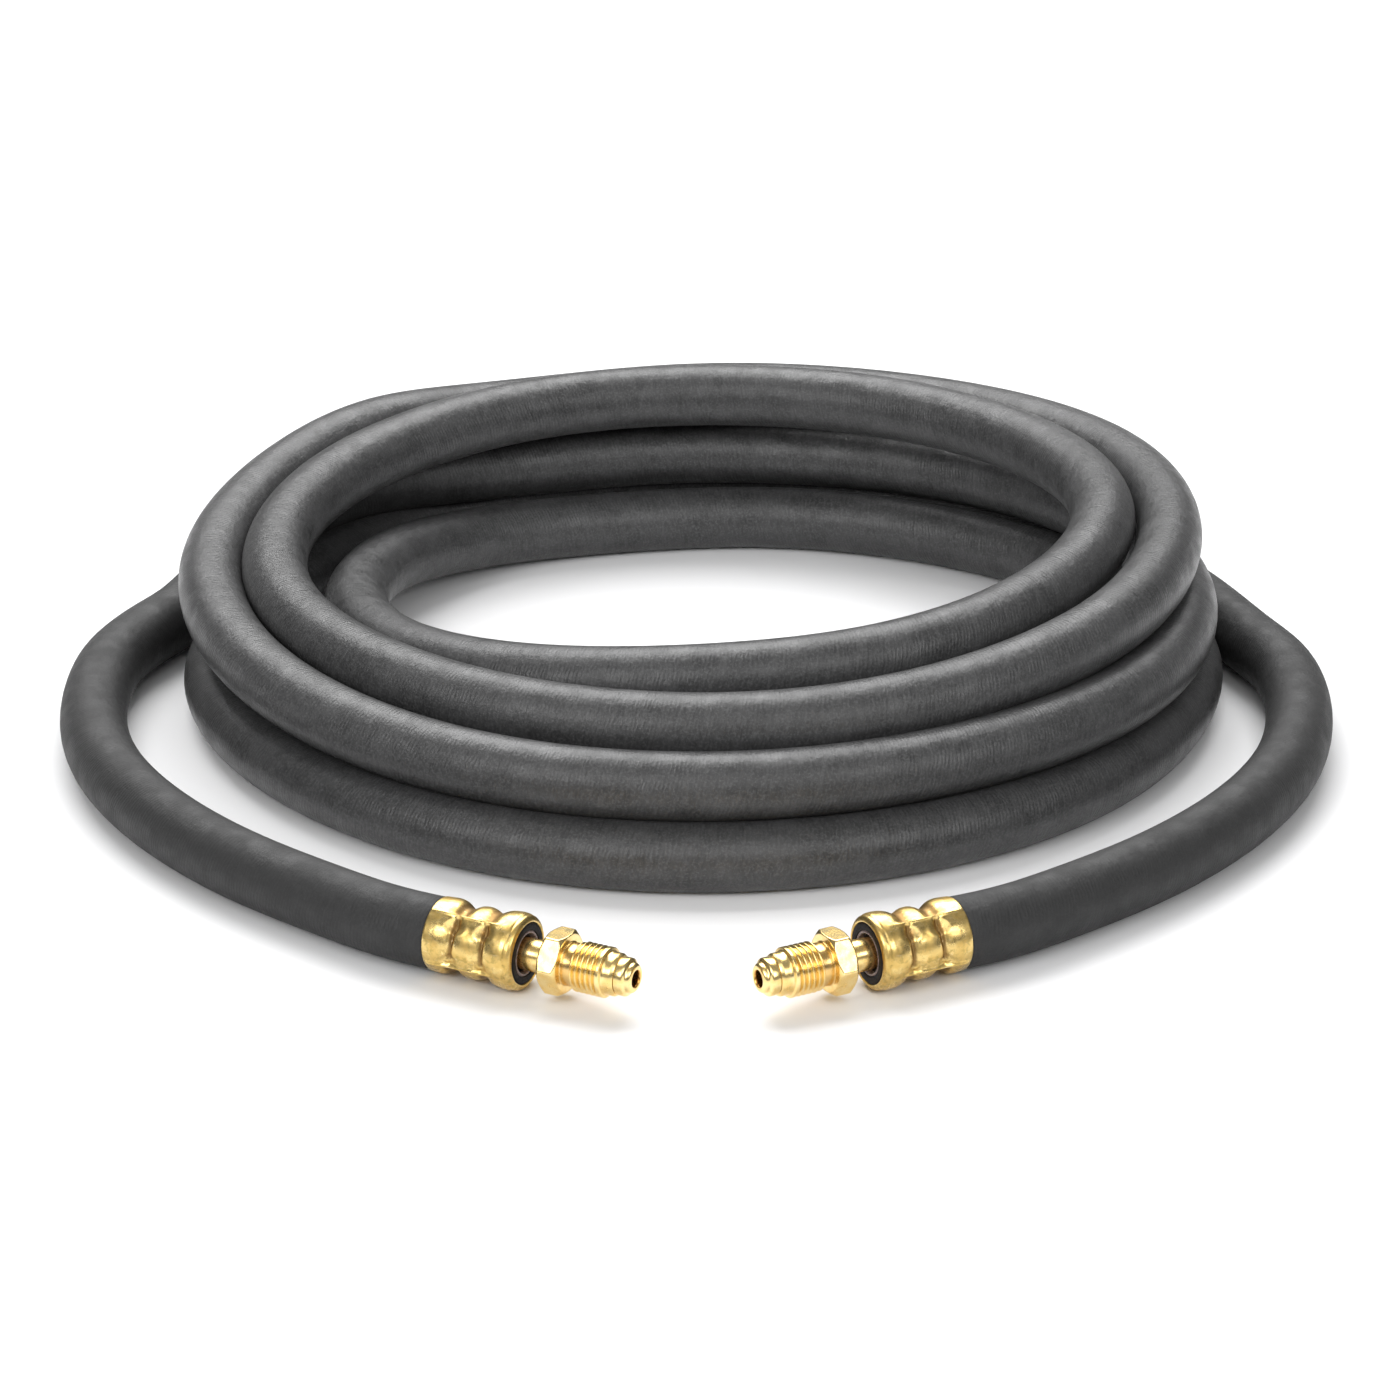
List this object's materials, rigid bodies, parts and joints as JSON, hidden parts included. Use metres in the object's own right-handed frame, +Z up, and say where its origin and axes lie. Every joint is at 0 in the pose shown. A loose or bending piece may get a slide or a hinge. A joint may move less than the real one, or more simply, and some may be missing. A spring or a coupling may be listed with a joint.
{
  "type": "coiled hose assembly",
  "caption": "Coiled black braid-reinforced rubber hose with a crimped brass ferrule, nipple and threaded swivel nut on each end.",
  "frame": {"origin": "on the surface the hose lies on, midway between the two end fittings", "axes": "+X from the left fitting to the right fitting, +Y towards the coil, +Z up"},
  "size_m": [0.2614, 0.2689, 0.043],
  "materials": {
    "rubber": "matt black, fine cross ribs left by a fabric wrap",
    "braid": "woven textile, cut end",
    "liner": "smooth dark rubber",
    "brass_satin": "satin, slightly stained",
    "brass_polished": "turned bright brass"
  },
  "bodies": {
    "hose": {"hose_coil": "rubber", "hose_tail_left": "rubber", "hose_tail_right": "rubber", "left_ferrule": "brass_satin", "left_cover_end": "rubber", "left_braid_end": "braid", "left_liner_end": "liner", "left_nipple": "brass_polished", "right_ferrule": "brass_satin", "right_cover_end": "rubber", "right_braid_end": "braid", "right_liner_end": "liner", "right_nipple": "brass_polished"},
    "left_nut": {"left_swivel_nut": "brass_polished"},
    "right_nut": {"right_swivel_nut": "brass_polished"}
  },
  "joints": [
    {"name": "left_nut_swivel", "type": "hinge", "parent": "hose", "child": "left_nut", "pos_m": [-0.02681, -0.0035, 0.0074], "axis": [0.887, -0.4617, 0], "continuous": true},
    {"name": "right_nut_swivel", "type": "hinge", "parent": "hose", "child": "right_nut", "pos_m": [0.02681, -0.0035, 0.0074], "axis": [-0.887, -0.4617, 0], "continuous": true}
  ]
}
